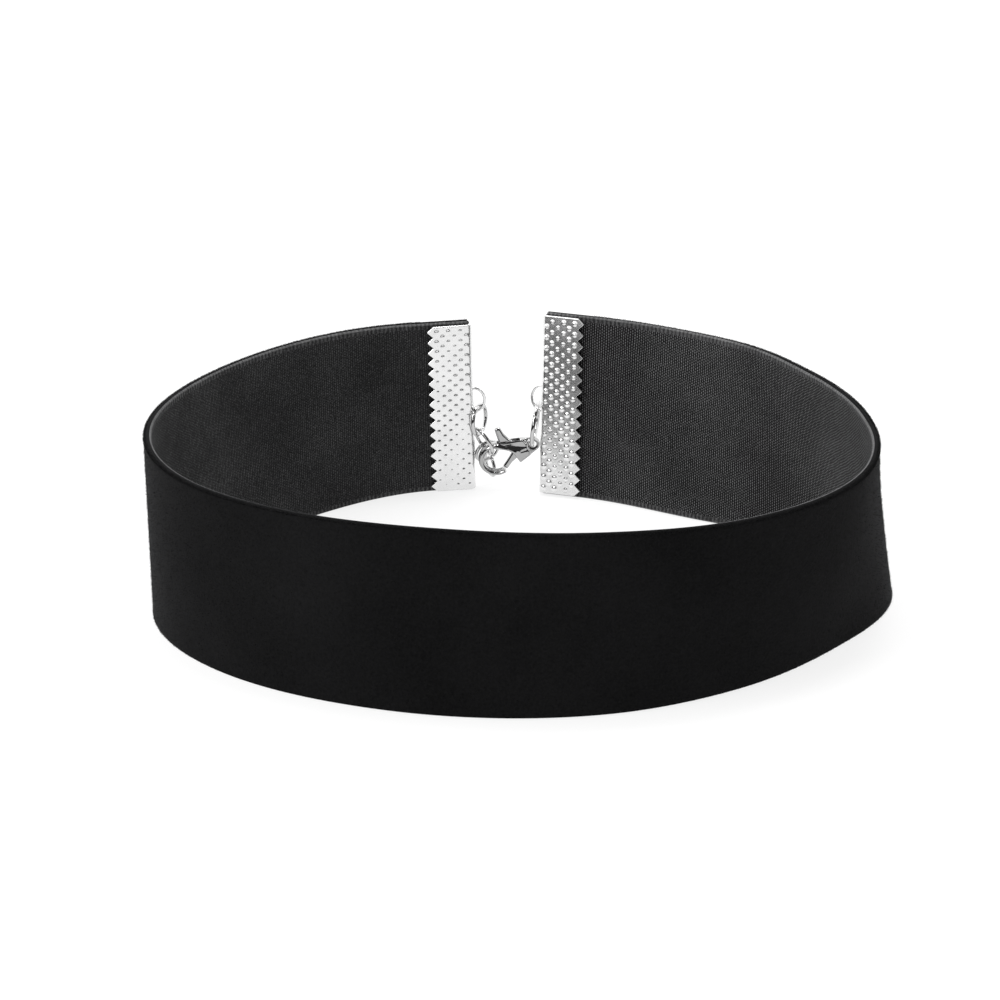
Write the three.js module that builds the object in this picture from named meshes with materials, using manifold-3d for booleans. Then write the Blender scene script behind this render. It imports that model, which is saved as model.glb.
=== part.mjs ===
import * as THREE from 'three';
import { mergeVertices } from 'three/addons/utils/BufferGeometryUtils.js';
import Module from 'manifold-3d';

// A choker: a wide velvet ribbon standing on its lower edge, a metal crimp on each end, and a lobster clasp.
// Millimetres, +Z up. The throat is at -Y, the clasp at +Y, and the wearer's neck goes through along Z.

const wasm = await Module();
wasm.setup();

// Ribbon
const loopLength = 306;
const ribbonWidth = 30;
const ribbonThickness = 1.2;
const ribbonSections = 84;
const startHeading = 185.4;

// Crimps
const crimpHeight = 29.2;
const crimpReach = 7.3;
const crimpWall = 0.45;
const foldDepth = 0.9;
const foldSteps = 8;
const clothPlay = 0.3;
const toothCount = 16;
const toothDepth = 1.0;
const toothTip = 0.08;
const toothFlare = 1.2;
const toothOvercut = 0.2;
const dotColumns = 6;
const dotRows = 16;
const dotRadius = 0.42;
const dotHeight = 0.26;
const dotPitch = 0.95;
const firstDot = 1.05;
const dotSunk = 0.15;

// Loop that each crimp carries on its fold
const loopWire = 0.5;
const loopRise = 4.2;
const loopOut = 1.75;
const loopMiddle = ribbonWidth * 0.523;
const loopSunk = 0.3;
const hangAngle = 62;

// Jump rings and chain links, by the diameter of their wire and of its middle line
const ringWire = 0.7;
const linkWire = 0.65;
const wireSides = 6;
const linkSides = 16;
const leftRingSize = 4.9;
const rightRingSize = 6.9;
const hookedLinkSize = 4.7;
const tailLinkSize = 3.9;
const metalPlay = 0.25;
const leftRingTurn = 65;
const rightRingTurn = 82;
const rightRingLean = 8;
const hookedTurn = 117;
const hookedLean = 25;

// Clasp
const claspLength = 6.5;
const claspThickness = 2.2;
const clawRadius = 2.75;
const clawWall = 0.85;
const clawThickness = 1.5;
const eyeThickness = 1.3;
const eyeHole = 0.64;
const eyeWall = 0.45;
const edgeRound = 0.18;
const hookEnd = 105;
const hookedAt = 78;
const hookBack = 118;
const gateRoot = 3.5;
const gateSeat = 0.5;
const throatLow = 0.9;
const slotWidth = 1.1;
const slotFront = 5.3;
const pivotAlong = 2.65;
const pivotUp = -0.1;
const pinRadius = 0.3;
const pinPlay = 0.14;
const leverThickness = 0.76;
const leverHub = 0.8;
const gateHeight = 0.72;
const gateOverlap = 0.2;
const finTop = 4.8;
const finStart = 1.2;
const finWidth = 0.85;
const finSlope = 0.15;

const radians = THREE.MathUtils.degToRad;
const velvet = new THREE.MeshStandardMaterial({ color: 0x1c1b1e, roughness: 0.95, metalness: 0 });
const silver = new THREE.MeshStandardMaterial({ color: 0xd9dadc, roughness: 0.16, metalness: 1 });

// Places along the ribbon, evenly spaced. Bend is in degrees for the whole length, lean is the top edge's
// tilt away from the neck in degrees.
const route = [
  { place: 'left crimp', bend: 590, lean: -5 },
  { place: 'back left', bend: 245, lean: 1 },
  { place: 'left behind the side', bend: 366, lean: 0 },
  { place: 'left side', bend: 551, lean: 0 },
  { place: 'left before the side', bend: 404, lean: 2 },
  { place: 'front left', bend: 250, lean: 1 },
  { place: 'throat left', bend: 196, lean: 0 },
  { place: 'throat right', bend: 313, lean: 4 },
  { place: 'front right', bend: 357, lean: 11 },
  { place: 'right before the side', bend: 414, lean: 11 },
  { place: 'right side', bend: 549, lean: -6 },
  { place: 'right behind the side', bend: 366, lean: -5 },
  { place: 'back right', bend: 118, lean: 10 },
  { place: 'right crimp', bend: 271, lean: 8 },
];

// Hanging links, each on the one above it. 'From' is the place on that link, in degrees from its lowest
// point; 'turn' is the compass direction of the link's flat side; back and side are its slant in degrees.
const tail = [
  { name: 'tail_link_1', from: 46, turn: 29, back: 37, side: 29 },
  { name: 'tail_link_2', from: -15, turn: 110, back: 9, side: 3 },
];

// Smooth value between the rows of the route, at a share from 0 to 1
function alongTable(column, share) {
  const last = route.length - 1;
  const place = THREE.MathUtils.clamp(share, 0, 1) * last;
  const row = Math.min(Math.floor(place), last - 1);
  const t = place - row;
  const [before, here, next, after] = [row - 1, row, row + 1, row + 2].map(
    (index) => route[THREE.MathUtils.clamp(index, 0, last)][column],
  );
  const cubic = (3 * here - before - 3 * next + after) * t ** 3;
  const square = (2 * before - 5 * here + 4 * next - after) * t ** 2;
  return (2 * here + (next - before) * t + square + cubic) / 2;
}

// The flat stretch at each end lies inside its crimp, so the bends are spread over what is left
function bendShare(distance) {
  return (distance - crimpReach) / (loopLength - 2 * crimpReach);
}

// Plan points and headings of the ribbon's middle line, from the left fold to the right one
function walkRoute() {
  const steps = ribbonSections * 8;
  const stride = loopLength / steps;
  const points = [new THREE.Vector2(0, 0)];
  const headings = [radians(startHeading)];
  for (let step = 0; step < steps; step += 1) {
    const middle = (step + 0.5) * stride;
    const share = bendShare(middle);
    const straight = share < 0 || share > 1;
    const turn = straight ? 0 : radians(alongTable('bend', share)) / steps;
    const heading = headings[step] + turn / 2;
    const move = new THREE.Vector2(Math.cos(heading), Math.sin(heading)).multiplyScalar(stride);
    points.push(points[step].clone().add(move));
    headings.push(headings[step] + turn);
  }
  return { points, headings };
}

const walked = walkRoute();

// Local frame of the ribbon at a distance: forward along it, up its width, and out through its face
function frameAt(distance, shift = new THREE.Vector2()) {
  const place = (distance / loopLength) * (walked.points.length - 1);
  const index = Math.min(Math.floor(place), walked.points.length - 2);
  const rest = place - index;
  const plan = walked.points[index].clone().lerp(walked.points[index + 1], rest);
  plan.addScaledVector(shift, distance / loopLength);
  const heading = THREE.MathUtils.lerp(walked.headings[index], walked.headings[index + 1], rest);
  const lean = radians(alongTable('lean', bendShare(distance)));
  const forward = new THREE.Vector3(Math.cos(heading), Math.sin(heading), 0);
  const level = new THREE.Vector3(Math.sin(heading), -Math.cos(heading), 0);
  const up = new THREE.Vector3(0, 0, Math.cos(lean)).addScaledVector(level, Math.sin(lean));
  const out = level.clone().multiplyScalar(Math.cos(lean)).add(new THREE.Vector3(0, 0, -Math.sin(lean)));
  const foot = new THREE.Vector3(plan.x, plan.y, 0);
  foot.addScaledVector(level, (-Math.sin(lean) * ribbonWidth) / 2);
  return { foot, forward, level, up, out };
}

// Where a ring hangs on a crimp's loop: its distance out of the fold and up from the ribbon's lower edge
const hangOut = loopOut * Math.cos(radians(hangAngle));
const hangUp = loopMiddle - (loopRise / 2) * Math.sin(radians(hangAngle));

function hangPoint(frame, outward) {
  const point = frame.foot.clone().addScaledVector(frame.forward, outward * hangOut);
  return point.addScaledVector(frame.up, hangUp);
}

// Height from a wire down to the lowest middle point of a ring that hangs on it
function ringDrop(size, wireAbove, wire) {
  return size - (wireAbove + wire) / 2 - metalPlay;
}

// The clasp's own axes: 'along' runs from the eye to the claw, 'up' to the thumb lever's side
const clawHole = clawRadius - clawWall;
const clawMiddle = clawRadius - clawWall / 2;
const hooked = new THREE.Vector2(
  claspLength + clawMiddle * Math.cos(radians(hookedAt)),
  clawMiddle * Math.sin(radians(hookedAt)),
);

// Straight down, slanted by an angle towards +X
function downTowards(angle) {
  return new THREE.Vector3(Math.sin(radians(angle)), 0, -Math.cos(radians(angle)));
}

// Solves how far apart the two loops stand and how far the clasp tips, from the sizes of what hangs there
function hangHardware(leftHeight, rightHeight) {
  const eyeDrop = ringDrop(rightRingSize, loopWire, ringWire) + eyeHole - ringWire / 2 - metalPlay;
  const eye = downTowards(-rightRingLean).multiplyScalar(eyeDrop);
  const inside = hookedLinkSize - linkWire;
  const reach = inside - ringWire / 2 - clawWall / 2 - 2 * metalPlay;
  const claw = downTowards(hookedLean).multiplyScalar(reach);
  claw.z -= ringDrop(leftRingSize, loopWire, ringWire);
  const arm = hooked.length();
  const slope = Math.asin((rightHeight + eye.z - leftHeight - claw.z) / arm);
  const across = claw.x + arm * Math.cos(slope) - eye.x;
  return { across, eye, tip: slope + hooked.angle() };
}

const startFrame = frameAt(0);
const endFrame = frameAt(loopLength);
const leftHang = hangPoint(startFrame, -1);
const freeRightHang = hangPoint(endFrame, 1);
const hanging = hangHardware(leftHang.z, freeRightHang.z);

// What the ribbon's far end still has to move so that the clasp just spans the opening
const closing = new THREE.Vector2(
  leftHang.x + hanging.across - freeRightHang.x,
  leftHang.y - freeRightHang.y,
);
const rightHang = freeRightHang.clone().add(new THREE.Vector3(closing.x, closing.y, 0));

// Closed triangle mesh as a solid that can be joined and cut
function solid(geometry) {
  const bare = geometry.clone();
  bare.deleteAttribute('normal');
  bare.deleteAttribute('uv');
  const merged = mergeVertices(bare, 1e-4);
  const vertProperties = Float32Array.from(merged.attributes.position.array);
  const triVerts = Uint32Array.from(merged.index.array);
  return new wasm.Manifold(new wasm.Mesh({ numProp: 3, vertProperties, triVerts }));
}

function geometryOf(body) {
  const mesh = body.getMesh();
  const geometry = new THREE.BufferGeometry();
  geometry.setAttribute('position', new THREE.BufferAttribute(Float32Array.from(mesh.vertProperties), 3));
  geometry.setIndex(new THREE.BufferAttribute(Uint32Array.from(mesh.triVerts), 1));
  geometry.computeVertexNormals();
  return geometry;
}

function joined(bodies) {
  return bodies.reduce((whole, body) => whole.add(body));
}

function namedMesh(name, geometry, material) {
  const mesh = new THREE.Mesh(geometry, material);
  mesh.name = name;
  return mesh;
}

// Velvet ribbon: four corners a section, with both lower corners on the ground
function ribbonGeometry() {
  const inset = crimpWall + clothPlay;
  const positions = [];
  const triangles = [];
  for (let section = 0; section <= ribbonSections; section += 1) {
    const distance = THREE.MathUtils.lerp(inset, loopLength - inset, section / ribbonSections);
    const { foot, level, up, out } = frameAt(distance, closing);
    const top = foot.clone().addScaledVector(up, ribbonWidth);
    const half = ribbonThickness / 2;
    const corners = [
      foot.clone().addScaledVector(level, -half),
      foot.clone().addScaledVector(level, half),
      top.clone().addScaledVector(out, half),
      top.clone().addScaledVector(out, -half),
    ];
    corners.forEach((corner) => positions.push(...corner.toArray()));
    if (section === 0) continue;
    const here = section * 4;
    for (let side = 0; side < 4; side += 1) {
      const next = (side + 1) % 4;
      triangles.push(here - 4 + side, here + side, here + next);
      triangles.push(here - 4 + side, here + next, here - 4 + next);
    }
  }
  const last = ribbonSections * 4;
  triangles.push(0, 1, 2, 0, 2, 3, last, last + 2, last + 1, last, last + 3, last + 2);
  const geometry = new THREE.BufferGeometry();
  geometry.setAttribute('position', new THREE.Float32BufferAttribute(positions, 3));
  geometry.setIndex(triangles);
  geometry.computeVertexNormals();
  return geometry;
}

// Folded strip seen from its end: x from the fold into the ribbon, y through the ribbon
function crimpSection() {
  const inner = ribbonThickness / 2 + clothPlay;
  const outer = inner + crimpWall;
  const section = new THREE.Shape();
  section.moveTo(crimpReach, -outer);
  for (let step = 0; step <= foldSteps; step += 1) {
    const angle = (step / foldSteps) * Math.PI;
    section.lineTo(foldDepth - foldDepth * Math.sin(angle), -outer * Math.cos(angle));
  }
  section.lineTo(crimpReach, outer);
  section.lineTo(crimpReach, inner);
  for (let step = foldSteps; step >= 0; step -= 1) {
    const angle = (step / foldSteps) * Math.PI;
    section.lineTo(foldDepth - (foldDepth - crimpWall) * Math.sin(angle), -inner * Math.cos(angle));
  }
  section.lineTo(crimpReach, -inner);
  return section;
}

// One wedge, cut through both walls, leaves a pointed tooth on each side of it
function toothGap(height) {
  const half = crimpHeight / toothCount / 2 - toothTip / 2;
  const wedge = new THREE.Shape();
  wedge.moveTo(crimpReach - toothDepth, height);
  wedge.lineTo(crimpReach + toothOvercut, height - half * toothFlare);
  wedge.lineTo(crimpReach + toothOvercut, height + half * toothFlare);
  const deep = ribbonThickness + 2 * (clothPlay + crimpWall) + 1;
  const geometry = new THREE.ExtrudeGeometry(wedge, { depth: deep, bevelEnabled: false, steps: 1 });
  geometry.translate(0, 0, -deep / 2);
  geometry.rotateX(Math.PI / 2);
  return solid(geometry);
}

// Raised dots in staggered columns on both outer faces
function crimpDots() {
  const face = ribbonThickness / 2 + clothPlay + crimpWall;
  const rowPitch = crimpHeight / (dotRows + 0.5);
  const cone = new THREE.ConeGeometry(dotRadius * (1 + dotSunk / dotHeight), dotHeight + dotSunk, 6);
  cone.translate(0, (dotHeight - dotSunk) / 2, 0);
  const dots = [];
  for (let column = 0; column < dotColumns; column += 1) {
    for (let row = 0; row < dotRows; row += 1) {
      const height = rowPitch * (row + 0.5 + (column % 2) * 0.5);
      const across = firstDot + column * dotPitch;
      const front = cone.clone().translate(across, face, height);
      dots.push(solid(front), solid(front.clone().rotateX(Math.PI).translate(0, 0, crimpHeight)));
    }
  }
  return dots;
}

// D-shaped wire loop, its two ends sunk into the fold's wall
function crimpLoop(middle) {
  const points = [];
  for (let angle = -90; angle <= 90; angle += 20) {
    const out = loopOut * Math.cos(radians(angle));
    const up = (loopRise / 2) * Math.sin(radians(angle));
    points.push(new THREE.Vector3(-out, 0, middle + up));
  }
  points.unshift(points[0].clone().setX(loopSunk));
  points.push(points.at(-1).clone().setX(loopSunk));
  const wire = new THREE.Shape(
    Array.from({ length: wireSides }, (_, side) => {
      const angle = (side / wireSides) * Math.PI * 2;
      return new THREE.Vector2(Math.cos(angle), Math.sin(angle)).multiplyScalar(loopWire / 2);
    }),
  );
  const path = new THREE.CatmullRomCurve3(points, false, 'centripetal');
  return solid(new THREE.ExtrudeGeometry(wire, { steps: 14, extrudePath: path, bevelEnabled: false }));
}

function crimpGeometry(lift) {
  const folded = { depth: crimpHeight, bevelEnabled: false, steps: 1 };
  let crimp = solid(new THREE.ExtrudeGeometry(crimpSection(), folded));
  for (let tooth = 0; tooth <= toothCount; tooth += 1) {
    crimp = crimp.subtract(toothGap((crimpHeight * tooth) / toothCount));
  }
  return geometryOf(joined([crimp, ...crimpDots(), crimpLoop(loopMiddle - lift)]));
}

// Puts a crimp on an end of the ribbon, its lower edge just clear of the ground
function placedCrimp(name, frame, inward) {
  const lift = (ribbonWidth - crimpHeight) / 2;
  const mesh = namedMesh(name, crimpGeometry(lift), silver);
  const x = frame.forward.clone().multiplyScalar(inward);
  const y = new THREE.Vector3().crossVectors(frame.up, x);
  mesh.matrixAutoUpdate = false;
  mesh.matrix.makeBasis(x, y, frame.up);
  mesh.matrix.setPosition(frame.foot.clone().addScaledVector(frame.up, lift));
  return mesh;
}

// Round link in its own plane: its lowest point is along -Z, its flat side along X
function linkGeometry(size, wire) {
  const profile = [];
  for (let side = 0; side <= wireSides; side += 1) {
    const angle = (side / wireSides) * Math.PI * 2;
    const radius = size / 2 + (Math.cos(angle) * wire) / 2;
    profile.push(new THREE.Vector2(radius, (Math.sin(angle) * wire) / 2));
  }
  return new THREE.LatheGeometry(profile, linkSides);
}

// A link whose lowest point lies along 'down' and whose flat side faces across 'turn'
function placedLink(name, centre, down, turn, size, wire) {
  const level = new THREE.Vector3(Math.cos(radians(turn)), Math.sin(radians(turn)), 0);
  const flat = level.addScaledVector(down, -level.dot(down)).normalize();
  const z = down.clone().negate();
  const y = new THREE.Vector3().crossVectors(z, flat);
  const geometry = linkGeometry(size, wire);
  const mesh = namedMesh(name, geometry, silver);
  mesh.matrixAutoUpdate = false;
  mesh.matrix.makeBasis(flat, y, z);
  mesh.matrix.setPosition(centre);
  return { mesh, centre, down, flat, size, wire };
}

// The next link down, hanging on a place of the link above
function hungLink(above, row) {
  const from = radians(row.from);
  const place = above.centre.clone()
    .addScaledVector(above.down, (Math.cos(from) * above.size) / 2)
    .addScaledVector(above.flat, (Math.sin(from) * above.size) / 2);
  const down = new THREE.Vector3(Math.tan(radians(row.side)), Math.tan(radians(row.back)), -1).normalize();
  const reach = tailLinkSize / 2 - (above.wire + linkWire) / 2 - metalPlay;
  return placedLink(row.name, place.addScaledVector(down, reach), down, row.turn, tailLinkSize, linkWire);
}

// A link that hangs on a wire, slanted by an angle towards +X
function firstLink(name, wirePoint, wireAbove, lean, turn, size, wire) {
  const down = downTowards(lean);
  const reach = size / 2 - (wireAbove + wire) / 2 - metalPlay;
  return placedLink(name, wirePoint.clone().addScaledVector(down, reach), down, turn, size, wire);
}

function hangingLinks() {
  const left = firstLink('left_jump_ring', leftHang, loopWire, 0, leftRingTurn, leftRingSize, ringWire);
  const right = firstLink(
    'right_jump_ring', rightHang, loopWire, -rightRingLean, rightRingTurn, rightRingSize, ringWire,
  );
  const ringFoot = left.centre.clone().addScaledVector(left.down, leftRingSize / 2);
  const links = [
    left,
    right,
    firstLink('hooked_link', ringFoot, ringWire, hookedLean, hookedTurn, hookedLinkSize, linkWire),
  ];
  tail.forEach((row) => links.push(hungLink(links.at(-1), row)));
  return links.map((link) => link.mesh);
}

// Height of the teardrop's straight side above the clasp's middle line
const eyeRadius = eyeHole + eyeWall;
const neck = eyeRadius * 0.8;
const slotBack = pivotAlong - leverHub - metalPlay;
const flare = Math.asin((clawRadius - eyeRadius) / claspLength);

function sidePoint(along, inset = 0) {
  return (eyeRadius - inset) / Math.cos(flare) + Math.tan(flare) * along;
}

// Outline of the clasp without its lever: a teardrop round the eye and the claw, open on its lower side
function claspOutline() {
  const outline = new THREE.Shape();
  const tip = radians(hookEnd);
  outline.absarc(0, 0, eyeRadius, Math.PI / 2 + flare, Math.PI * 1.5 - flare, false);
  outline.lineTo(neck, -sidePoint(neck));
  outline.lineTo(slotBack, -sidePoint(slotBack));
  outline.lineTo(gateRoot - gateSeat, -sidePoint(gateRoot - gateSeat));
  outline.lineTo(gateRoot - gateSeat / 2, -gateSeat);
  const throatX = claspLength + clawHole * Math.cos(radians(hookBack));
  const throatY = clawHole * Math.sin(radians(hookBack));
  outline.quadraticCurveTo(gateRoot, throatLow, throatX, throatY);
  outline.absarc(claspLength, 0, clawHole, radians(hookBack), -tip, true);
  outline.absarc(claspLength, 0, clawRadius, -tip, Math.PI / 2 + flare, false);
  outline.lineTo(slotBack, sidePoint(slotBack));
  outline.lineTo(neck, sidePoint(neck));
  const hole = new THREE.Path();
  hole.absarc(0, 0, eyeHole, 0, Math.PI * 2, false);
  outline.holes.push(hole);
  return outline;
}

// Flat outline given a thickness with rounded edges, centred on the clasp's plane
function plate(outline, thickness, round, segments) {
  const geometry = new THREE.ExtrudeGeometry(outline, {
    depth: thickness - 2 * round,
    bevelEnabled: round > 0,
    bevelThickness: round,
    bevelSize: round,
    bevelOffset: -round,
    bevelSegments: 2,
    curveSegments: segments,
    steps: 1,
  });
  geometry.translate(0, 0, round - thickness / 2);
  return geometry;
}

// The body is thickest where the lever sits, and draws in towards the eye and the claw
function taperEnds(geometry) {
  const position = geometry.attributes.position;
  for (let index = 0; index < position.count; index += 1) {
    const along = position.getX(index);
    const claw = THREE.MathUtils.smoothstep(along, slotFront, claspLength + clawRadius / 2);
    const eye = 1 - THREE.MathUtils.smoothstep(along, neck, slotBack + leverHub);
    const thinner = claw * (claspThickness - clawThickness) + eye * (claspThickness - eyeThickness);
    const thickness = claspThickness - thinner;
    position.setZ(index, (position.getZ(index) * thickness) / claspThickness);
  }
  return geometry;
}

function disc(radius, thickness, sides) {
  const geometry = new THREE.CylinderGeometry(radius, radius, thickness, sides);
  geometry.rotateX(Math.PI / 2);
  geometry.translate(pivotAlong, pivotUp, 0);
  return solid(geometry);
}

// Body with eye and hook in one piece, a slot for the lever and the pin that the lever turns on
function claspBody() {
  const body = solid(taperEnds(plate(claspOutline(), claspThickness, edgeRound, 12)));
  const tall = 4 * clawRadius;
  const slot = new THREE.BoxGeometry(slotFront - slotBack, tall, slotWidth);
  slot.translate((slotFront + slotBack) / 2, 0, 0);
  const pin = disc(pinRadius, claspThickness - edgeRound, 8);
  return geometryOf(body.subtract(solid(slot)).add(pin));
}

// Lever: a hub on the pin, a gate that closes the hook, and a thumb fin that stands out of the slot
function claspLever() {
  const pivot = new THREE.Vector2(pivotAlong, pivotUp);
  const tip = radians(-hookEnd);
  const nearTip = new THREE.Vector2(
    claspLength + clawHole * Math.cos(tip),
    clawHole * Math.sin(tip),
  );
  const farTip = new THREE.Vector2(
    claspLength + clawRadius * Math.cos(tip),
    clawRadius * Math.sin(tip),
  );
  const reach = Math.min(nearTip.distanceTo(pivot), farTip.distanceTo(pivot)) - metalPlay;
  const lower = Math.atan2(farTip.y + gateOverlap - pivot.y, farTip.x - pivot.x);
  const upper = lower + gateHeight / reach;
  const onGate = (radius, angle) => [pivot.x + radius * Math.cos(angle), pivot.y + radius * Math.sin(angle)];
  const gate = new THREE.Shape();
  gate.moveTo(pivot.x, pivot.y);
  gate.lineTo(...onGate(leverHub, lower - 0.9));
  gate.lineTo(...onGate(reach * 0.6, lower - 0.05));
  gate.lineTo(...onGate(reach, lower));
  gate.lineTo(...onGate(reach, upper));
  gate.lineTo(...onGate(reach * 0.6, upper + 0.12));
  gate.lineTo(...onGate(leverHub, upper + 0.75));
  const finFoot = sidePoint(pivotAlong + finStart);
  const finBack = pivotAlong + finStart;
  const fin = new THREE.Shape();
  fin.moveTo(pivotAlong + leverHub * 0.9, pivotUp);
  fin.lineTo(slotFront - metalPlay - pinPlay, finFoot);
  fin.lineTo(finBack + finWidth, finTop - finSlope);
  fin.lineTo(finBack + finWidth * 0.6, finTop);
  fin.lineTo(finBack, finTop - finSlope);
  fin.lineTo(finBack - finSlope, (finFoot + finTop) / 2);
  fin.lineTo(finBack - finWidth * 0.8, finFoot);
  fin.lineTo(pivotAlong - leverHub * 0.7, pivotUp + leverHub * 0.7);
  const hole = disc(pinRadius + pinPlay, claspThickness, 12);
  const parts = [
    disc(leverHub, leverThickness, 16),
    solid(plate(gate, leverThickness, 0, 1)),
    solid(plate(fin, leverThickness, 0, 1)),
  ];
  return geometryOf(joined(parts).subtract(hole));
}

// Stands the clasp's plane upright between the loops and tips it by what hangs on both sides
function placeClasp(mesh) {
  const { tip, eye } = hanging;
  const along = new THREE.Vector3(-Math.cos(tip), 0, -Math.sin(tip));
  const up = new THREE.Vector3(-Math.sin(tip), 0, Math.cos(tip));
  mesh.matrixAutoUpdate = false;
  mesh.matrix.makeBasis(along, up, new THREE.Vector3().crossVectors(along, up));
  mesh.matrix.setPosition(rightHang.clone().add(eye));
  return mesh;
}

// Everything, moved so that the box's middle is over the origin and its foot on the ground
function choker() {
  const parts = [
    namedMesh('velvet_ribbon', ribbonGeometry(), velvet),
    placedCrimp('left_crimp', frameAt(0, closing), 1),
    placedCrimp('right_crimp', frameAt(loopLength, closing), -1),
    ...hangingLinks(),
    placeClasp(namedMesh('clasp_body', claspBody(), silver)),
    placeClasp(namedMesh('clasp_lever', claspLever(), silver)),
  ];
  const group = new THREE.Group();
  parts.forEach((part) => group.add(part));
  group.updateMatrixWorld(true);
  const box = new THREE.Box3().setFromObject(group, true);
  const middle = box.getCenter(new THREE.Vector3());
  group.position.set(-middle.x, -middle.y, -box.min.z);
  return group;
}

export default choker();
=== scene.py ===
import math
import random

import bmesh
import bpy
import numpy as np
from mathutils import Matrix, Vector, kdtree


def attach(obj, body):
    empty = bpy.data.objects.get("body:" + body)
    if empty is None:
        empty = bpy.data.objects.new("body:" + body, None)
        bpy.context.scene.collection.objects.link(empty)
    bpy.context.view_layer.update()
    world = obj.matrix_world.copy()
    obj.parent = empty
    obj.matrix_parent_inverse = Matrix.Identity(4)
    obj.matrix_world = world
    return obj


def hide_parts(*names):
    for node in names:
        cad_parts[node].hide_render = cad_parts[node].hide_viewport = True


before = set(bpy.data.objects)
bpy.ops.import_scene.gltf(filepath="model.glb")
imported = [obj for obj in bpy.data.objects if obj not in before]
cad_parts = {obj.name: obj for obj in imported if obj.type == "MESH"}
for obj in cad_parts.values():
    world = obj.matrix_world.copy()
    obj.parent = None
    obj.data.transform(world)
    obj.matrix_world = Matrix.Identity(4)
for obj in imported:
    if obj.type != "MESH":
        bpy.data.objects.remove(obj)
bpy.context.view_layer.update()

# All sizes are in metres. The throat is at -Y, the clasp at +Y.
MM = 0.001

# Ribbon
RIBBON_WIDTH = 30 * MM
RIBBON_THICKNESS = 1.2 * MM
EDGE_ROUND = 0.3 * MM
SECTIONS = 600
WIDTH_STEPS = 44
EDGE_STEPS = 6
POINT_DIGITS = 7

# Velvet pile, with noise scales in turns a metre
PILE_GRAIN = 2600
PILE_PATCHES = 45
PILE_GRAIN_SHARE = 0.6
PILE_DARK = (0.32, (0.0026, 0.0026, 0.0027))
PILE_LIGHT = (0.68, (0.0092, 0.0091, 0.0095))
PILE_BUMP = 0.12 * MM
PILE_SHEEN = 0.055
PILE_SHEEN_TINT = (0.9, 0.9, 0.94, 1.0)

# Fibres of the pile
FIBRE_LENGTH = 0.36 * MM
SHORTEST_FIBRE = 0.45
FIBRE_WIDTH = 0.05 * MM
FIBRE_LEAN = 0.35
FIBRE_SIDE = (0.31, 0.52, 0.79)
CRIMP_CLEAR = 0.2 * MM
FLOOR_CLEAR = 0.02 * MM
TOP_TURNS = (0.25, 1.5)
TOP_INSET = 0.35 * MM
TOP_CURVE = 0.2 * MM
BOTTOM_TURNS = (0.2, 1.4)
BOTTOM_INSET = 0.32 * MM
BOTTOM_DROOP = 0.6
EDGE_SIDE = 0.45 * RIBBON_THICKNESS
FACE_INSET = 0.5 * MM
FACE_SIDE = 0.48 * RIBBON_THICKNESS
FACE_LEAN = 0.3

# Woven back: pitches of the ribs and of the dots on them, and how far noise bends them in radians
RIB_PITCH = 0.37 * MM
RIB_DRIFT_SCALE = 300
RIB_DRIFT = 7.0
RIB_SHARPNESS = 0.8
WEFT_PITCH = 0.46 * MM
WEFT_WOBBLE_SCALE = 420
WEFT_WOBBLE = 6.0
WEFT_SHARE = 0.55
WEAVE_BUMP = 0.09 * MM

# Tones of the woven back, which is smoother near the left crimp. Scallops turn in radians a metre.
WEAVE_MEAN = 0.34
SMOOTH_TONE = 0.49
SMOOTH_RELIEF = 0.3
SMOOTH_UNTIL = 100 * MM
SMOOTH_FADE = 60 * MM
SELVEDGE = 0.7 * MM
SELVEDGE_TONE = 0.45
SCALLOP_TURN = 9000.0
SCALLOP_TONE = 0.2
# Painted light: a lighter tone on the rounded rims of both edges, as if they caught light from above.
EDGE_RIM_PAINTED_LIGHT = 0.22
SPECKLE_SCALE = 2900
SPECKLE_SHARE = 0.7
PATCH_SCALE = 70
PATCH_SHARE = 0.28
MOTTLE_LEVEL = 0.16
HEIGHT_SHARE = 0.8
HEIGHT_LEVEL = 0.25
WEAVE_DARK = (0.2, (0.0008, 0.0008, 0.001))
WEAVE_MIDDLE = (0.4, (0.020, 0.020, 0.0205))
WEAVE_LIGHT = (0.7, (0.16, 0.16, 0.162))

# Metal
METAL_WAVE = 260
METAL_GRAIN = 5200
METAL_GRAIN_SHARE = 0.1
METAL_DULL = 0.92
METAL_BUMP = 0.05 * MM

# Crimps. The waves of their sheet turn in radians a metre.
CRIMP_HEIGHT = 29.2 * MM
CRIMP_REACH = 7.3 * MM
CRIMP_HALF = 1.35 * MM
CRIMP_WALL = 0.45 * MM
CRIMP_GRIP = 0.75 * MM
FOLD_DEPTH = 0.9 * MM
AXIS_SECTIONS = 12
TEETH = 16
TOOTH_DEPTH = 1.0 * MM
TOOTH_START = 6.1 * MM
TOOTH_STEPS = 16
FLAT_STEPS = 56
FOLD_STEPS = 12
DOT_COLUMNS = 6
DOT_ROWS = 16
DOT_PITCH = 0.95 * MM
DOT_RADIUS = 0.42 * MM
DOT_HEIGHT = 0.14 * MM
DOT_FALL = 1.2
FIRST_DOT = 1.05 * MM
DOTS_FROM = 0.7 * FOLD_DEPTH
SHEET_WAVE = 0.03 * MM
SHEET_WAVE_ALONG = 900
SHEET_WAVE_UP = 310

# Loops and rings
LOOP_WIRE = 0.5 * MM
LOOP_RISE = 4.2 * MM
LOOP_OUT = 1.75 * MM
LOOP_MIDDLE = 15.29 * MM
LOOP_SUNK = 0.3 * MM
LOOP_STEPS = 24
LOOP_SIDES = 12
RING_CUT = 0.05 * MM
RING_CUT_TURN = 0.9
RING_STEPS = 72
RING_SIDES = 20
PACKED_WIRE_SIDES = 6
FIRST_NORMAL = (0.3, 0.9, 0.2)

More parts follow.
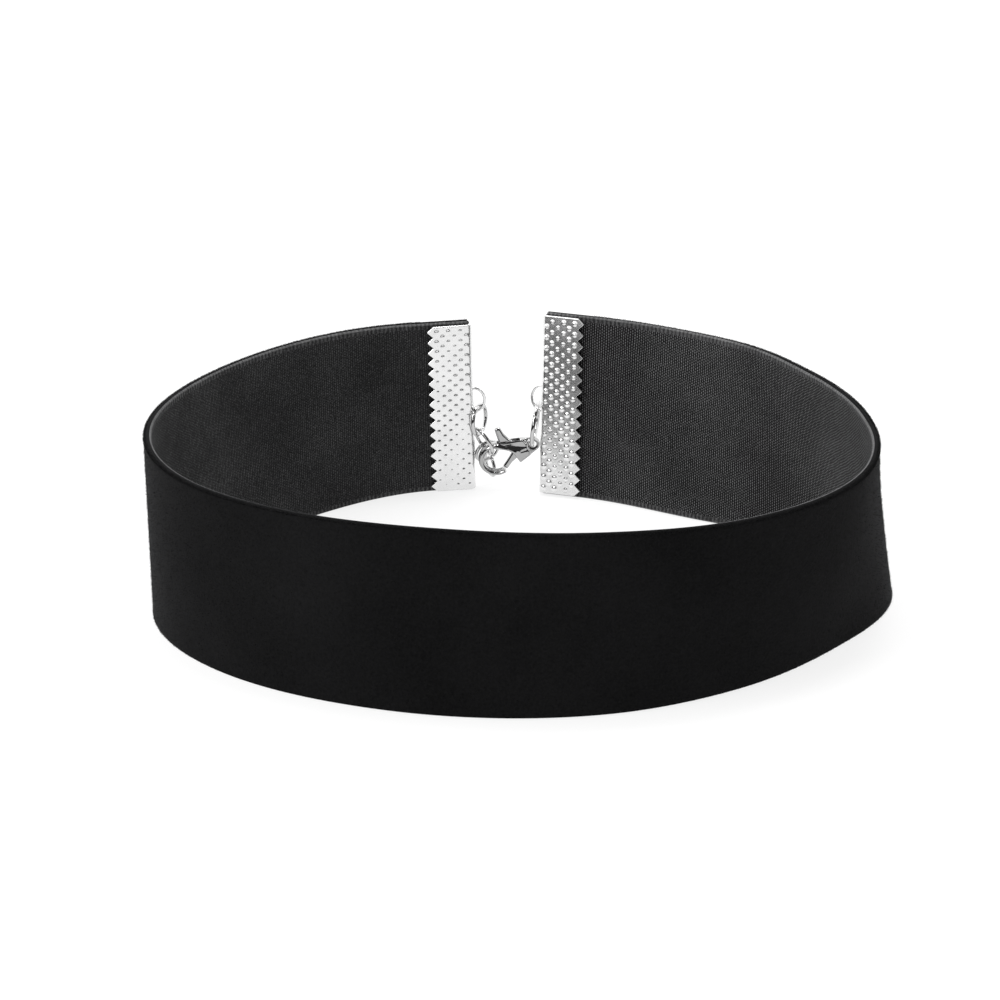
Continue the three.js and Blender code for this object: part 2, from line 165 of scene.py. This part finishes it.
# Clasp's body, measured from the middle of its eye towards the claw
CLASP_EYE = (2.6914 * MM, 44.163 * MM, 7.6704 * MM)
CLASP_TIP = 21.569
EYE_MIDDLE = 0.865 * MM
EYE_BAND = 0.225 * MM
EYE_UNTIL = 0.6 * MM
BODY_START = 1.3 * MM
BODY_FLARE = 0.264
BODY_END = 3.6 * MM
CLAW_START = 5.2 * MM
CLAW_AT = 6.5 * MM
CLAW_MIDDLE = 2.325 * MM
CLAW_BAND = 0.425 * MM
SLOT_HALF = 0.46 * MM
SLOT_FADE = 0.4 * MM
FLAT_HALF = 0.1 * MM
FACE_ROUNDING = 0.85

# Clasp's lever
RIM_SHARE = 0.5
CROWN_REACH = 0.45 * MM
CROWN_DROP = 0.7

# Casting
CAST_GRAIN = 0.065 * MM
CAST_SWELL = 0.06 * MM
CAST_SOFTENING = 12

# Camera, fitted to the ribbon's edges
CAMERA_DISTANCE = 1.0
CAMERA_ELEVATION = 22.0
CAMERA_ROLL = -1.89
CAMERA_FOCUS = 232.8
CAMERA_SENSOR = 36
CAMERA_TARGET = (-2.91 * MM, 2.3 * MM, 14.97 * MM)

# Surroundings
DARK_TOWARDS = (0.22, -0.58, 0.78)
DARK_START = 0.69
DARK_FULL = 0.79
WORLD_BRIGHT = 1.6
WORLD_DARK = 0.05
FLOOR_HALF = 4.0
FLOOR_TONE = 0.23
FLOOR_GLOW = 0.8


def new_object(name, mesh):
    piece = bpy.data.objects.new(name, mesh)
    bpy.context.scene.collection.objects.link(piece)
    return piece


def mesh_from(name, points, faces, smooth=True):
    mesh = bpy.data.meshes.new(name)
    mesh.from_pydata([tuple(p) for p in points], [], faces)
    mesh.polygons.foreach_set("use_smooth", [smooth] * len(mesh.polygons))
    mesh.update()
    return mesh


def float_attribute(mesh, name, values):
    attribute = mesh.attributes.new(name, "FLOAT", "POINT")
    attribute.data.foreach_set("value", np.array(values, np.float32))


def mesh_points(mesh):
    return np.array([v.co[:] for v in mesh.vertices], float)


def smooth_share(values, start, stop):
    share = np.clip((values - start) / (stop - start), 0, 1)
    return share * share * (3 - 2 * share)


# Materials

class Nodes:
    """Short way to write a material's nodes."""

    def __init__(self, name):
        self.material = bpy.data.materials.new(name)
        self.material.use_nodes = True
        self.tree = self.material.node_tree
        self.shader = self.tree.nodes["Principled BSDF"]

    def add(self, kind, **values):
        node = self.tree.nodes.new(kind)
        for key, value in values.items():
            if key in node.inputs:
                node.inputs[key].default_value = value
            else:
                setattr(node, key, value)
        return node

    def link(self, source, target):
        self.tree.links.new(source, target)

    def math(self, operation, *values):
        node = self.add("ShaderNodeMath", operation=operation)
        for socket, value in zip(node.inputs, values):
            if isinstance(value, (int, float)):
                socket.default_value = value
            else:
                self.link(value, socket)
        return node.outputs[0]

    def plus(self, first, second):
        return self.math("ADD", first, second)

    def times(self, first, second):
        return self.math("MULTIPLY", first, second)

    def wave(self, angle):
        """Sine between 0 and 1."""
        return self.times(self.plus(self.math("SINE", angle), 1.0), 0.5)

    def attribute(self, name):
        return self.add("ShaderNodeAttribute", attribute_name=name).outputs["Fac"]

    def noise(self, scale, detail=2.0, roughness=0.5):
        node = self.add("ShaderNodeTexNoise", Scale=scale, Detail=detail, Roughness=roughness)
        self.link(self.add("ShaderNodeTexCoord").outputs["Object"], node.inputs["Vector"])
        return node.outputs["Fac"]

    def fade(self, value, start, stop, first):
        """From the first number up to 1 as the value goes from start to stop."""
        node = self.add("ShaderNodeMapRange")
        self.link(value, node.inputs["Value"])
        node.inputs["From Min"].default_value = start
        node.inputs["From Max"].default_value = stop
        node.inputs["To Min"].default_value = first
        return node.outputs["Result"]

    def ramp(self, factor, stops):
        node = self.add("ShaderNodeValToRGB")
        elements = node.color_ramp.elements
        while len(elements) < len(stops):
            elements.new(0.5)
        for element, (position, colour) in zip(elements, stops):
            element.position = position
            element.color = (*colour, 1.0)
        self.link(factor, node.inputs["Fac"])
        return node.outputs["Color"]

    def bump(self, height, distance, strength=1.0):
        node = self.add("ShaderNodeBump", Distance=distance, Strength=strength)
        self.link(height, node.inputs["Height"])
        return node.outputs["Normal"]

    def set(self, **values):
        for key, value in values.items():
            socket = self.shader.inputs[key.replace("_", " ")]
            if isinstance(value, bpy.types.NodeSocket):
                self.link(value, socket)
            else:
                socket.default_value = value


def gray(value):
    return (value, value, value)


def velvet_material():
    """Pile: almost black head on, a soft sheen where it is seen at a slant."""
    n = Nodes("velvet_pile")
    fine = n.noise(PILE_GRAIN, detail=3.0, roughness=0.7)
    broad = n.noise(PILE_PATCHES, detail=3.0)
    mixed = n.plus(n.times(fine, PILE_GRAIN_SHARE), n.times(broad, 1 - PILE_GRAIN_SHARE))
    n.set(Base_Color=n.ramp(mixed, [PILE_DARK, PILE_LIGHT]))
    n.set(Roughness=1.0, Specular_IOR_Level=0.05)
    n.set(Sheen_Weight=PILE_SHEEN, Sheen_Roughness=0.3, Sheen_Tint=PILE_SHEEN_TINT)
    n.set(Normal=n.bump(fine, PILE_BUMP, 0.9))
    return n.material


def weave_height(n, along, up):
    """Ribs across the ribbon, with dots of the weft that are staggered from rib to rib."""
    drift = n.times(n.noise(RIB_DRIFT_SCALE, detail=4.0), RIB_DRIFT)
    rib_angle = n.plus(n.times(along, 2 * math.pi / RIB_PITCH), drift)
    rib_number = n.math("FLOOR", n.plus(n.times(rib_angle, 0.5 / math.pi), 0.25))
    wobble = n.times(n.noise(WEFT_WOBBLE_SCALE, detail=3.0), WEFT_WOBBLE)
    climb = n.plus(n.times(up, 2 * math.pi / WEFT_PITCH), wobble)
    ribs = n.math("POWER", n.wave(rib_angle), RIB_SHARPNESS)
    weft = n.wave(n.plus(climb, n.times(rib_number, math.pi)))
    return n.times(ribs, n.plus(n.times(weft, WEFT_SHARE), 1 - WEFT_SHARE))


def back_height(n, along, up):
    """The weave, with a scalloped selvedge at both edges and the pile's rim beyond them, lightened there as
    painted light.
    """
    relief = n.fade(along, SMOOTH_UNTIL, SMOOTH_UNTIL + SMOOTH_FADE, SMOOTH_RELIEF)
    woven = n.times(n.math("SUBTRACT", weave_height(n, along, up), WEAVE_MEAN), relief)
    level = n.math("SUBTRACT", SMOOTH_TONE, n.times(relief, SMOOTH_TONE - WEAVE_MEAN))
    from_middle = n.math("ABSOLUTE", n.math("SUBTRACT", up, RIBBON_WIDTH / 2))
    edge = n.math("GREATER_THAN", from_middle, RIBBON_WIDTH / 2 - SELVEDGE)
    scallop = n.times(n.wave(n.times(along, SCALLOP_TURN)), SCALLOP_TONE)
    selvedge = n.times(edge, n.plus(scallop, SELVEDGE_TONE))
    inside = n.times(n.math("SUBTRACT", 1.0, edge), n.plus(woven, level))
    # Painted light: the rounded rims beyond the selvedge are lightened as if lit from above.
    rim = n.times(n.math("GREATER_THAN", from_middle, RIBBON_WIDTH / 2), EDGE_RIM_PAINTED_LIGHT)
    return n.plus(n.plus(selvedge, inside), rim)


def woven_material():
    """Woven back: fine dotted ribs, mottled in tone."""
    n = Nodes("woven_back")
    height = back_height(n, n.attribute("along"), n.attribute("up"))
    speckle = n.times(n.noise(SPECKLE_SCALE, detail=3.0, roughness=0.85), SPECKLE_SHARE)
    patches = n.times(n.noise(PATCH_SCALE, detail=3.0, roughness=0.6), PATCH_SHARE)
    mottle = n.plus(n.plus(speckle, patches), MOTTLE_LEVEL)
    tone = n.times(n.plus(n.times(height, HEIGHT_SHARE), HEIGHT_LEVEL), mottle)
    n.set(Base_Color=n.ramp(tone, [WEAVE_DARK, WEAVE_MIDDLE, WEAVE_LIGHT]))
    n.set(Roughness=0.85, Specular_IOR_Level=0.12)
    n.set(Normal=n.bump(height, WEAVE_BUMP))
    return n.material


def silver_material(name, roughness, scratch, tone_and_painted_shade):
    """Polished plated metal, a little wavy and finely rubbed. A low tone darkens it as painted shade,
    standing in for dark reflections.
    """
    n = Nodes(name)
    wave = n.noise(METAL_WAVE)
    fine = n.noise(METAL_GRAIN, roughness=0.7)
    n.set(Base_Color=n.ramp(wave, [(0.3, gray(tone_and_painted_shade * METAL_DULL)), (0.7, gray(tone_and_painted_shade))]))
    n.set(Metallic=1.0)
    n.set(Roughness=n.plus(n.times(fine, METAL_GRAIN_SHARE), roughness - METAL_GRAIN_SHARE / 2))
    n.set(Normal=n.bump(wave, METAL_BUMP, scratch))
    return n.material


# Ribbon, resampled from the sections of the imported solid

def ribbon_sections():
    """Mid points of the lower and upper edges, in order from the left crimp round to the right one."""
    points = mesh_points(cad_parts["velvet_ribbon"].data)
    points = np.unique(np.round(points, POINT_DIGITS), axis=0)
    middle = (points[:, 2].min() + points[:, 2].max()) / 2
    towards_gap = math.pi / 2
    edges = []
    for chosen in (points[points[:, 2] < middle], points[points[:, 2] >= middle]):
        angle = (np.arctan2(chosen[:, 1], chosen[:, 0]) - towards_gap) % (2 * math.pi)
        ordered = chosen[np.argsort(angle)]
        edges.append((ordered[0::2] + ordered[1::2]) / 2)
    return edges


def resampled(points, count):
    """Evenly spaced points on a smooth curve through the given ones."""
    padded = np.vstack([2 * points[0] - points[1], points, 2 * points[-1] - points[-2]])
    place = np.linspace(0, len(points) - 1, count)
    index = np.minimum(place.astype(int), len(points) - 2)
    t = (place - index)[:, None]
    a, b, c, d = (padded[index + shift] for shift in range(4))
    bend = (2 * a - 5 * b + 4 * c - d) * t**2 + (3 * b - a - 3 * c + d) * t**3
    return 0.5 * (2 * b + (c - a) * t + bend)


def ribbon_path():
    """Both edges of the ribbon, its outward direction and the length along its middle."""
    low, high = (resampled(edge, SECTIONS + 1) for edge in ribbon_sections())
    middle = (low + high) / 2
    up = high - low
    up /= np.linalg.norm(up, axis=1)[:, None]
    out = np.cross(np.gradient(middle, axis=0), up)
    out /= np.linalg.norm(out, axis=1)[:, None]
    steps = np.linalg.norm(np.diff(middle, axis=0), axis=1)
    return {"low": low, "high": high, "out": out, "length": np.concatenate([[0], np.cumsum(steps)])}


def ribbon_rows():
    """The section's outline: share of the width, distance out of the middle, and whether it is the back."""
    half = RIBBON_THICKNESS / 2
    margin = EDGE_ROUND / RIBBON_WIDTH
    edge_angles = [math.pi * step / EDGE_STEPS for step in range(1, EDGE_STEPS)]
    shares = [step / WIDTH_STEPS for step in range(WIDTH_STEPS + 1)]
    rows = [(share, half, False) for share in shares]
    for step, angle in enumerate(edge_angles, 1):
        rows.append((1 + margin * math.sin(angle), half * math.cos(angle), step > EDGE_STEPS / 2))
    rows += [(1 - share, -half, True) for share in shares]
    for step, angle in enumerate(edge_angles, 1):
        rows.append((-margin * math.sin(angle), -half * math.cos(angle), step < EDGE_STEPS / 2))
    return rows


def ribbon_cloth(path, pile, back):
    """The band: velvet pile outside and over both edges, the woven back inside."""
    rows = ribbon_rows()
    count = len(rows)
    margin = EDGE_ROUND / RIBBON_WIDTH
    points = []
    along = []
    above = []
    for section in range(SECTIONS + 1):
        rise = path["high"][section] - path["low"][section]
        for share, side, _ in rows:
            inner = margin + share * (1 - 2 * margin)
            points.append(path["low"][section] + rise * inner + path["out"][section] * side)
            along.append(path["length"][section])
            above.append(share * RIBBON_WIDTH)
    faces = []
    slots = []
    for section in range(SECTIONS):
        first = section * count
        for row in range(count):
            following = (row + 1) % count
            faces.append((first + row, first + count + row, first + count + following, first + following))
            slots.append(1 if rows[row][2] and rows[following][2] else 0)
    faces.append(tuple(range(count)))
    faces.append(tuple(reversed(range(SECTIONS * count, (SECTIONS + 1) * count))))
    mesh = mesh_from("ribbon_cloth", points, faces)
    mesh.materials.append(pile)
    mesh.materials.append(back)
    mesh.polygons.foreach_set("material_index", slots + [0, 0])
    float_attribute(mesh, "along", along)
    float_attribute(mesh, "up", above)
    cloth = new_object("ribbon_cloth", mesh)
    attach(cloth, "root")
    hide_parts("velvet_ribbon")


def spike(points, faces, root, tip, turn):
    """A closed fibre with three sides."""
    axis = (tip - root) / np.linalg.norm(tip - root)
    side = np.cross(axis, FIBRE_SIDE)
    side /= np.linalg.norm(side)
    other = np.cross(axis, side)
    first = len(points)
    for corner in range(3):
        angle = turn + corner * 2 * math.pi / 3
        points.append(root + (side * math.cos(angle) + other * math.sin(angle)) * FIBRE_WIDTH / 2)
    points.append(tip)
    faces.append((first, first + 2, first + 1))
    faces.append((first, first + 1, first + 3))
    faces.append((first + 1, first + 2, first + 3))
    faces.append((first + 2, first, first + 3))


def path_at(path, distance):
    """Points on the lower and upper edges and the outward direction, at a distance along the ribbon."""
    at = np.interp(distance, path["length"], np.arange(SECTIONS + 1))
    index = min(int(at), SECTIONS - 1)
    rest = at - index
    for key in ("low", "high", "out"):
        yield path[key][index] * (1 - rest) + path[key][index + 1] * rest


def pile_fibres(name, path, material, seed, per_mm, place):
    """Fibres of the pile. Place gives a root's height on the ribbon, its side and its direction."""
    chance = random.Random(seed)
    points = []
    faces = []
    start = CRIMP_REACH + CRIMP_CLEAR
    stop = path["length"][-1] - start
    for _ in range(int((stop - start) / MM * per_mm)):
        low, high, out = path_at(path, chance.uniform(start, stop))
        rise = (high - low) / RIBBON_WIDTH
        height, side, up_share, out_share = place(chance)
        root = low + rise * height + out * side
        lean = np.cross(rise, out) * chance.gauss(0, FIBRE_LEAN)
        direction = rise * up_share + out * out_share + lean
        direction /= np.linalg.norm(direction)
        tip = root + direction * chance.uniform(SHORTEST_FIBRE, 1.0) * FIBRE_LENGTH
        tip[2] = max(tip[2], FLOOR_CLEAR)
        spike(points, faces, root, tip, chance.uniform(0, 2))
    fibres = new_object(name, mesh_from(name, points, faces, smooth=False))
    fibres.data.materials.append(material)
    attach(fibres, "root")


def on_top_edge(chance):
    turn = chance.uniform(*TOP_TURNS)
    height = RIBBON_WIDTH - TOP_INSET + TOP_CURVE * math.cos(turn)
    return height, EDGE_SIDE * math.sin(turn), math.cos(turn), math.sin(turn)


def on_bottom_edge(chance):
    turn = chance.uniform(*BOTTOM_TURNS)
    return BOTTOM_INSET, EDGE_SIDE * math.sin(turn), -BOTTOM_DROOP * math.cos(turn), math.sin(turn)


def on_outer_face(chance):
    height = chance.uniform(FACE_INSET, RIBBON_WIDTH - FACE_INSET)
    return height, FACE_SIDE, chance.gauss(0, FACE_LEAN), 1.0


# Crimps

def crimp_axes(path, at_end):
    """Corner of the fold on the lower edge, with axes into the ribbon, through it and up."""
    index, inner = (SECTIONS, SECTIONS - AXIS_SECTIONS) if at_end else (0, AXIS_SECTIONS)
    x = path["low"][inner] - path["low"][index]
    x /= np.linalg.norm(x)
    z = path["high"][index] - path["low"][index]
    z /= np.linalg.norm(z)
    x -= z * np.dot(x, z)
    x /= np.linalg.norm(x)
    y = np.cross(z, x)
    corner = path["low"][index] - x * CRIMP_GRIP + z * (RIBBON_WIDTH - CRIMP_HEIGHT) / 2
    return corner, x, y, z


def tooth_edge(height):
    """How far the toothed edge reaches at a height."""
    place = height / CRIMP_HEIGHT * TEETH % 1
    return CRIMP_REACH - 2 * TOOTH_DEPTH * abs(place - 0.5)


def fold_path(half):
    """Reach into the ribbon and side, from one toothed edge round the fold to the other."""
    places = []
    flat = CRIMP_REACH - FOLD_DEPTH
    for step in range(FLAT_STEPS + 1):
        places.append((CRIMP_REACH - flat * step / FLAT_STEPS, half))
    depth = FOLD_DEPTH - (CRIMP_HALF - half)
    for step in range(1, FOLD_STEPS):
        angle = math.pi * step / FOLD_STEPS
        places.append((FOLD_DEPTH - depth * math.sin(angle), half * math.cos(angle)))
    for step in range(FLAT_STEPS + 1):
        places.append((FOLD_DEPTH + flat * step / FLAT_STEPS, -half))
    return places


def dot_rise(reach, height):
    """Height of the pressed dots on the metal at a place."""
    pitch = CRIMP_HEIGHT / (DOT_ROWS + 0.5)
    nearest = round((reach - FIRST_DOT) / DOT_PITCH)
    best = 0.0
    for column in (nearest - 1, nearest, nearest + 1):
        shift = 0.5 + (column % 2) * 0.5
        row = round(height / pitch - shift)
        if column not in range(DOT_COLUMNS) or row not in range(DOT_ROWS):
            continue
        dx = reach - FIRST_DOT - column * DOT_PITCH
        dz = height - (row + shift) * pitch
        away = math.hypot(dx, dz) / DOT_RADIUS
        if away < 1:
            best = max(best, DOT_HEIGHT * (1 - away * away) ** DOT_FALL)
    return best


def sheet_points(path, heights, dotted):
    """One skin of the folded sheet, drawn in to the toothed edge."""
    points = []
    for height in heights:
        stretch = (tooth_edge(height) - TOOTH_START) / (CRIMP_REACH - TOOTH_START)
        for reach, side in path:
            x = reach if reach <= TOOTH_START else TOOTH_START + (reach - TOOTH_START) * stretch
            raised = 0.0
            if dotted:
                raised = SHEET_WAVE * math.sin(x * SHEET_WAVE_ALONG + height * SHEET_WAVE_UP)
            if dotted and reach > DOTS_FROM:
                raised += dot_rise(x, height)
            points.append(np.array((x, side + math.copysign(raised, side), height)))
    return points


def crimp_sheet():
    """Local points and faces of the folded sheet: outer skin with dots, inner skin, teeth and rims."""
    rows = TEETH * TOOTH_STEPS + 1
    heights = [CRIMP_HEIGHT * row / (rows - 1) for row in range(rows)]
    outer = sheet_points(fold_path(CRIMP_HALF), heights, True)
    inner = sheet_points(fold_path(CRIMP_HALF - CRIMP_WALL), heights, False)
    shell = len(outer)
    count = shell // rows
    faces = []
    for row in range(rows - 1):
        for first in range(row * count, row * count + count - 1):
            faces.append((first, first + count, first + count + 1, first + 1))
            faces.append((shell + first, shell + first + 1, shell + first + count + 1, shell + first + count))
    for low in range(count - 1):
        faces.append((low, low + 1, shell + low + 1, shell + low))
        top = (rows - 1) * count + low
        faces.append((top, shell + top, shell + top + 1, top + 1))
    for row in range(rows - 1):
        first = row * count
        faces.append((first, shell + first, shell + first + count, first + count))
        last = first + count - 1
        faces.append((last, last + count, shell + last + count, shell + last))
    return outer + inner, faces


def tube(points, faces, centres, radius, sides):
    """Round wire through the given places, capped at both ends."""
    centres = np.array(centres)
    total = len(centres)
    first = len(points)
    normal = np.array(FIRST_NORMAL)
    for index in range(total):
        forward = centres[min(index + 1, total - 1)] - centres[max(index - 1, 0)]
        forward /= np.linalg.norm(forward)
        if index == 0:
            normal = np.cross(forward, normal)
        normal = normal - forward * np.dot(normal, forward)
        normal /= np.linalg.norm(normal)
        other = np.cross(forward, normal)
        for side in range(sides):
            angle = 2 * math.pi * side / sides
            points.append(centres[index] + (normal * math.cos(angle) + other * math.sin(angle)) * radius)
    for index in range(total - 1):
        here = first + index * sides
        there = here + sides
        for side in range(sides):
            turn = (side + 1) % sides
            faces.append((here + side, here + turn, there + turn, there + side))
    faces.append(tuple(first + side for side in reversed(range(sides))))
    last = first + (total - 1) * sides
    faces.append(tuple(last + side for side in range(sides)))


def loop_wire(points, faces):
    """D-shaped loop on the fold, both ends sunk into the wall."""
    centres = [(LOOP_SUNK, 0, LOOP_MIDDLE - LOOP_RISE / 2)]
    for step in range(LOOP_STEPS + 1):
        angle = math.radians(-90 + 180 * step / LOOP_STEPS)
        centres.append((-LOOP_OUT * math.cos(angle), 0, LOOP_MIDDLE + LOOP_RISE / 2 * math.sin(angle)))
    centres.append((LOOP_SUNK, 0, LOOP_MIDDLE + LOOP_RISE / 2))
    tube(points, faces, centres, LOOP_WIRE / 2, LOOP_SIDES)


def facing_out(piece):
    mesh = bmesh.new()
    mesh.from_mesh(piece.data)
    bmesh.ops.recalc_face_normals(mesh, faces=mesh.faces)
    mesh.to_mesh(piece.data)
    mesh.free()


def crimp(name, path, at_end, material):
    local, faces = crimp_sheet()
    loop_wire(local, faces)
    corner, x, y, z = crimp_axes(path, at_end)
    points = [corner + x * p[0] + y * p[1] + z * p[2] for p in local]
    piece = new_object(name + "_metal", mesh_from(name + "_metal", points, faces))
    piece.data.materials.append(material)
    facing_out(piece)
    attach(piece, "root")
    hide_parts(name)


# Rings and links

def ring(name, material):
    """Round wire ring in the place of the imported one, closed by a fine cut on its upper side."""
    packed = mesh_points(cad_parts[name].data)
    centre = packed.mean(axis=0)
    _, _, axes = np.linalg.svd(packed - centre, full_matrices=False)
    flat_a, flat_b, normal = axes
    height = (packed - centre) @ normal
    away = np.linalg.norm(packed - centre - np.outer(height, normal), axis=1)
    radius = (away.max() + away.min()) / 2
    wire = np.abs(height).max() / math.sin(2 * math.pi / PACKED_WIRE_SIDES)
    cut = math.atan2(flat_b[2], flat_a[2]) + RING_CUT_TURN
    gap = RING_CUT / radius / 2
    centres = []
    for step in range(RING_STEPS + 1):
        angle = cut + gap + (2 * math.pi - 2 * gap) * step / RING_STEPS
        centres.append(centre + (flat_a * math.cos(angle) + flat_b * math.sin(angle)) * radius)
    points = []
    faces = []
    tube(points, faces, centres, wire, RING_SIDES)
    piece = new_object(name + "_wire", mesh_from(name + "_wire", points, faces))
    piece.data.materials.append(material)
    facing_out(piece)
    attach(piece, "root")
    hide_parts(name)


# Clasp

def rounded_faces(mesh):
    """Draws the body's flat faces in towards its outline, as on a cast hook."""
    tip = math.radians(CLASP_TIP)
    points = mesh_points(mesh)
    local = points - np.array(CLASP_EYE)
    a = local @ np.array((-math.cos(tip), 0, -math.sin(tip)))
    u = local @ np.array((-math.sin(tip), 0, math.cos(tip)))
    side = local[:, 1]
    eye = (np.hypot(a, u) - EYE_MIDDLE) / EYE_BAND
    body = u / (EYE_MIDDLE + EYE_BAND + BODY_FLARE * a)
    claw = (np.hypot(a - CLAW_AT, u) - CLAW_MIDDLE) / CLAW_BAND
    to_claw = smooth_share(a, BODY_END, CLAW_START)
    to_eye = 1 - smooth_share(a, EYE_UNTIL, BODY_START)
    across = (1 - to_claw - to_eye) * np.clip(body, -1, 1) ** 2
    across += to_claw * np.clip(claw, -1, 1) ** 2 + to_eye * np.clip(eye, -1, 1) ** 2
    slot = SLOT_HALF * (1 - to_eye) * (1 - smooth_share(a, CLAW_START, CLAW_START + SLOT_FADE))
    kept = slot + FLAT_HALF
    beyond = np.maximum(np.abs(side) - kept, 0) * np.sqrt(1 - FACE_ROUNDING * across)
    points[:, 1] += np.sign(side) * (np.minimum(np.abs(side), kept) + beyond) - side
    mesh.vertices.foreach_set("co", points.ravel())
    mesh.update()


def crowned_faces(mesh):
    """Rounds the lever's flat faces off towards its outline."""
    points = mesh_points(mesh)
    middle = (points[:, 1].max() + points[:, 1].min()) / 2
    half = (points[:, 1].max() - points[:, 1].min()) / 2
    side = points[:, 1] - middle
    rim = points[np.abs(side) < RIM_SHARE * half]
    outline = kdtree.KDTree(len(rim))
    for index, (x, _, z) in enumerate(rim):
        outline.insert((x, 0, z), index)
    outline.balance()
    inside = np.array([outline.find((x, 0, z))[2] for x, _, z in points])
    near = 1 - np.clip(inside / CROWN_REACH, 0, 1)
    points[:, 1] = middle + side * np.sqrt(1 - CROWN_DROP * near * near)
    mesh.vertices.foreach_set("co", points.ravel())
    mesh.update()


def cast_copy(name, body, material, rounding):
    """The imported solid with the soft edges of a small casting."""
    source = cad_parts[name]
    piece = new_object(name + "_cast", source.data.copy())
    piece.matrix_world = source.matrix_world.copy()
    remesh = piece.modifiers.new("even", "REMESH")
    remesh.mode = "VOXEL"
    remesh.voxel_size = CAST_GRAIN
    swell = piece.modifiers.new("swell", "DISPLACE")
    swell.mid_level = 0
    swell.strength = CAST_SWELL
    soften = piece.modifiers.new("soften", "SMOOTH")
    soften.factor = 0.5
    soften.iterations = CAST_SOFTENING
    evaluated = piece.evaluated_get(bpy.context.evaluated_depsgraph_get())
    mesh = bpy.data.meshes.new_from_object(evaluated)
    rounding(mesh)
    piece.modifiers.clear()
    piece.data = mesh
    mesh.materials.clear()
    mesh.materials.append(material)
    mesh.polygons.foreach_set("use_smooth", [True] * len(mesh.polygons))
    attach(piece, body)
    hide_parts(name)


def main():
    path = ribbon_path()
    pile = velvet_material()
    ribbon_cloth(path, pile, woven_material())
    pile_fibres("top_edge_pile", path, pile, seed=3, per_mm=110, place=on_top_edge)
    pile_fibres("lower_edge_pile", path, pile, seed=4, per_mm=70, place=on_bottom_edge)
    pile_fibres("face_pile", path, pile, seed=5, per_mm=150, place=on_outer_face)
    pressed = silver_material("pressed_sheet", roughness=0.24, scratch=0.3, tone_and_painted_shade=0.84)
    crimp("left_crimp", path, False, pressed)
    crimp("right_crimp", path, True, pressed)
    # Painted shade: the wire's silver is darker than the sheet's, standing in for dark reflections.
    wire = silver_material("wire_silver_painted_shade", roughness=0.1, scratch=0.2, tone_and_painted_shade=0.6)
    for name in ("left_jump_ring", "right_jump_ring", "hooked_link", "tail_link_1", "tail_link_2"):
        ring(name, wire)
    # Painted shade: the clasp's silver is darker still, standing in for dark reflections.
    cast = silver_material("clasp_silver_painted_shade", roughness=0.1, scratch=0.3, tone_and_painted_shade=0.42)
    cast_copy("clasp_body", "root", cast, rounded_faces)
    cast_copy("clasp_lever", "lever", cast, crowned_faces)


# Camera, floor and lights

def camera():
    elevation = math.radians(CAMERA_ELEVATION)
    roll = math.radians(CAMERA_ROLL)
    back = Vector((0, -math.cos(elevation), math.sin(elevation)))
    right = Vector((1, 0, 0))
    upward = back.cross(right)
    x = right * math.cos(roll) + upward * math.sin(roll)
    y = upward * math.cos(roll) - right * math.sin(roll)
    data = bpy.data.cameras.new("camera")
    data.lens = CAMERA_FOCUS
    data.sensor_width = CAMERA_SENSOR
    data.sensor_fit = "HORIZONTAL"
    data.clip_start = 0.01
    data.clip_end = 20
    item = new_object("camera", data)
    place = Vector(CAMERA_TARGET) + back * CAMERA_DISTANCE
    item.matrix_world = Matrix.Translation(place) @ Matrix((x, y, back)).transposed().to_4x4()
    bpy.context.scene.camera = item


def floor():
    n = Nodes("pale_floor")
    n.set(Base_Color=(*gray(FLOOR_TONE), 1.0), Roughness=0.95, Specular_IOR_Level=0.0)
    n.set(Emission_Color=(1.0, 1.0, 1.0, 1.0), Emission_Strength=FLOOR_GLOW)
    corners = [(x * FLOOR_HALF, y * FLOOR_HALF, 0) for x, y in ((-1, -1), (1, -1), (1, 1), (-1, 1))]
    mesh = mesh_from("floor", corners, [(0, 1, 2, 3)])
    mesh.materials.append(n.material)
    item = new_object("floor", mesh)


def area_light(name, place, target, size, power):
    data = bpy.data.lights.new(name, "AREA")
    data.shape = "SQUARE"
    data.size = size
    data.energy = power
    item = new_object(name, data)
    direction = Vector(target) - Vector(place)
    item.matrix_world = Matrix.Translation(place) @ direction.to_track_quat("-Z", "Y").to_matrix().to_4x4()


def studio():
    """Bright all round, with a dark part over the camera and overhead that the metal mirrors."""
    world = bpy.data.worlds.new("studio")
    world.use_nodes = True
    tree = world.node_tree
    place = tree.nodes.new("ShaderNodeTexCoord")
    toward = tree.nodes.new("ShaderNodeVectorMath")
    toward.operation = "DOT_PRODUCT"
    toward.inputs[1].default_value = DARK_TOWARDS
    tree.links.new(place.outputs["Generated"], toward.inputs[0])
    ramp = tree.nodes.new("ShaderNodeValToRGB")
    tones = ((DARK_START, WORLD_BRIGHT), (DARK_FULL, WORLD_DARK))
    for element, (position, tone) in zip(ramp.color_ramp.elements, tones):
        element.position = position
        element.color = (*gray(tone), 1)
    tree.links.new(toward.outputs["Value"], ramp.inputs["Fac"])
    tree.links.new(ramp.outputs["Color"], tree.nodes["Background"].inputs["Color"])
    bpy.context.scene.world = world


def lights():
    studio()
    area_light("key", place=(-0.75, -0.35, 0.7), target=(0, 0, 0.01), size=0.5, power=4.5)
    area_light("overhead", place=(0.05, 0.05, 0.9), target=(0, 0, 0), size=0.2, power=2.5)
    bpy.context.scene.view_settings.view_transform = "Standard"


camera()
main()
floor()
lights()
